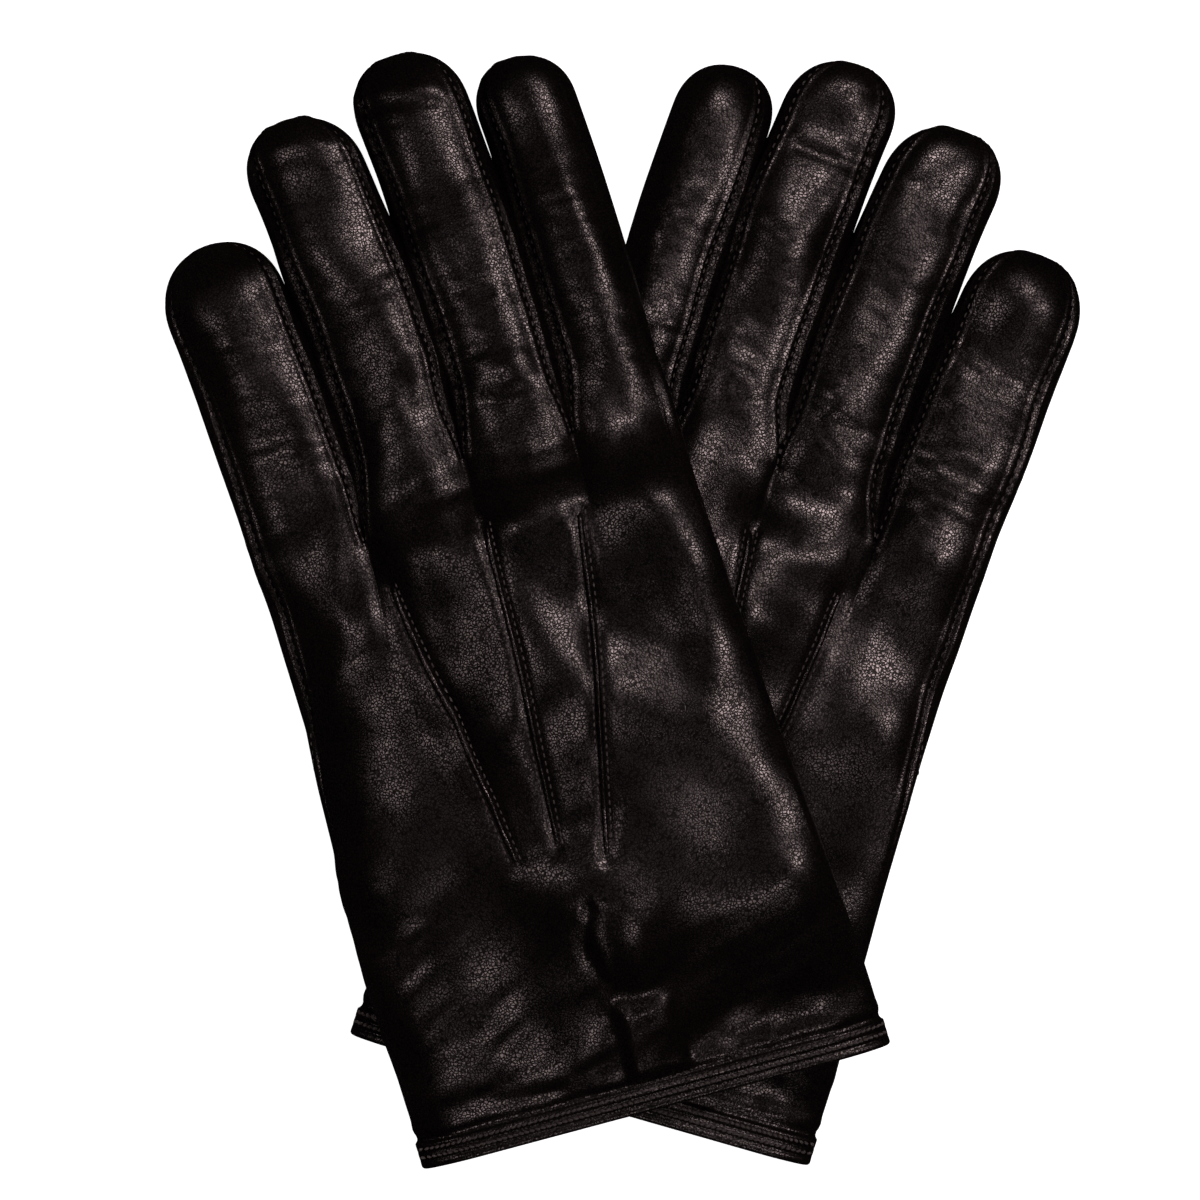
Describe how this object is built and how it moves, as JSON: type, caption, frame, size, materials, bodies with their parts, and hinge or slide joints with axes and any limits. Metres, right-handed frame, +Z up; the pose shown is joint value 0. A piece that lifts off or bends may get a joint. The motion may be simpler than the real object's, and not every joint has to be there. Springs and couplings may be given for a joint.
{
  "type": "pair of leather gloves",
  "caption": "Pair of plain leather dress gloves with raised points on the backs, lying crossed with the thumbs folded under the palms.",
  "frame": {"origin": "middle of the pair's footprint, on the surface the gloves lie on", "axes": "+Z up from the surface, +Y from the cuffs towards the fingertips, +X across the pair towards the lower glove's little finger"},
  "size_m": [0.22, 0.2672, 0.0346],
  "materials": {
    "leather": "smooth grained nappa, semi-gloss, near-black brown",
    "lining": "fine knitted lining",
    "thread": "waxed sewing thread",
    "elastic": "woven elastic tape"
  },
  "bodies": {
    "right_hand": {"right_back_panel": "leather", "right_palm_panel": "leather", "right_hem_band": "leather", "right_back_points": "leather", "right_wrist_elastic": "elastic", "right_hand_lining": "lining", "right_hem_thread": "thread", "right_point_thread": "thread", "right_side_seam_thread": "thread"},
    "right_thumb": {"right_thumb_top": "leather", "right_thumb_underside": "leather", "right_thumb_lining": "lining"},
    "right_index_finger": {"right_index_back": "leather", "right_index_palm": "leather", "right_index_fourchette": "leather", "right_index_lining": "lining"},
    "right_middle_finger": {"right_middle_back": "leather", "right_middle_palm": "leather", "right_middle_fourchette": "leather", "right_middle_lining": "lining"},
    "right_ring_finger": {"right_ring_back": "leather", "right_ring_palm": "leather", "right_ring_fourchette": "leather", "right_ring_lining": "lining"},
    "right_little_finger": {"right_little_back": "leather", "right_little_palm": "leather", "right_little_fourchette": "leather", "right_little_lining": "lining"},
    "left_hand": {"left_back_panel": "leather", "left_palm_panel": "leather", "left_hem_band": "leather", "left_back_points": "leather", "left_wrist_elastic": "elastic", "left_hand_lining": "lining", "left_hem_thread": "thread", "left_point_thread": "thread", "left_side_seam_thread": "thread"},
    "left_thumb": {"left_thumb_top": "leather", "left_thumb_underside": "leather", "left_thumb_lining": "lining"},
    "left_index_finger": {"left_index_back": "leather", "left_index_palm": "leather", "left_index_fourchette": "leather", "left_index_lining": "lining"},
    "left_middle_finger": {"left_middle_back": "leather", "left_middle_palm": "leather", "left_middle_fourchette": "leather", "left_middle_lining": "lining"},
    "left_ring_finger": {"left_ring_back": "leather", "left_ring_palm": "leather", "left_ring_fourchette": "leather", "left_ring_lining": "lining"},
    "left_little_finger": {"left_little_back": "leather", "left_little_palm": "leather", "left_little_fourchette": "leather", "left_little_lining": "lining"}
  },
  "joints": [
    {"name": "right_thumb_swing", "type": "hinge", "parent": "right_hand", "child": "right_thumb", "pos_m": [-0.0252, -0.04289, 0], "axis": [0, 0, 1], "range_deg": [0, 38]},
    {"name": "right_index_bend", "type": "hinge", "parent": "right_hand", "child": "right_index_finger", "pos_m": [0.01293, 0.08917, 0.012], "axis": [0.9449, -0.3274, 0], "range_deg": [0, 35]},
    {"name": "right_middle_bend", "type": "hinge", "parent": "right_hand", "child": "right_middle_finger", "pos_m": [0.0253, 0.04614, 0.012], "axis": [0.9379, -0.3469, 0], "range_deg": [0, 40]},
    {"name": "right_ring_bend", "type": "hinge", "parent": "right_hand", "child": "right_ring_finger", "pos_m": [0.05099, 0.0367, 0.012], "axis": [0.9379, -0.3469, 0], "range_deg": [0, 40]},
    {"name": "right_little_bend", "type": "hinge", "parent": "right_hand", "child": "right_little_finger", "pos_m": [0.07581, 0.01553, 0.012], "axis": [0.9379, -0.3469, 0], "range_deg": [0, 40]},
    {"name": "left_lift", "type": "slide", "parent": "right_hand", "child": "left_hand", "axis": [0, 0, 1], "range_m": [0, 0.12]},
    {"name": "left_thumb_swing", "type": "hinge", "parent": "left_hand", "child": "left_thumb", "pos_m": [0.02391, -0.04316, 0.0176], "axis": [0, 0, -1], "range_deg": [0, 50]},
    {"name": "left_index_bend", "type": "hinge", "parent": "left_hand", "child": "left_index_finger", "pos_m": [-0.00225, 0.05553, 0.02894], "axis": [0.9375, 0.3283, 0.1151], "range_deg": [0, 40]},
    {"name": "left_middle_bend", "type": "hinge", "parent": "left_hand", "child": "left_middle_finger", "pos_m": [-0.02656, 0.04695, 0.02595], "axis": [0.9375, 0.3283, 0.1151], "range_deg": [0, 40]},
    {"name": "left_ring_bend", "type": "hinge", "parent": "left_hand", "child": "left_ring_finger", "pos_m": [-0.05241, 0.03795, 0.02278], "axis": [0.9375, 0.3283, 0.1151], "range_deg": [0, 40]},
    {"name": "left_little_bend", "type": "hinge", "parent": "left_hand", "child": "left_little_finger", "pos_m": [-0.07761, 0.01722, 0.01989], "axis": [0.9375, 0.3283, 0.1151], "range_deg": [0, 40]}
  ]
}
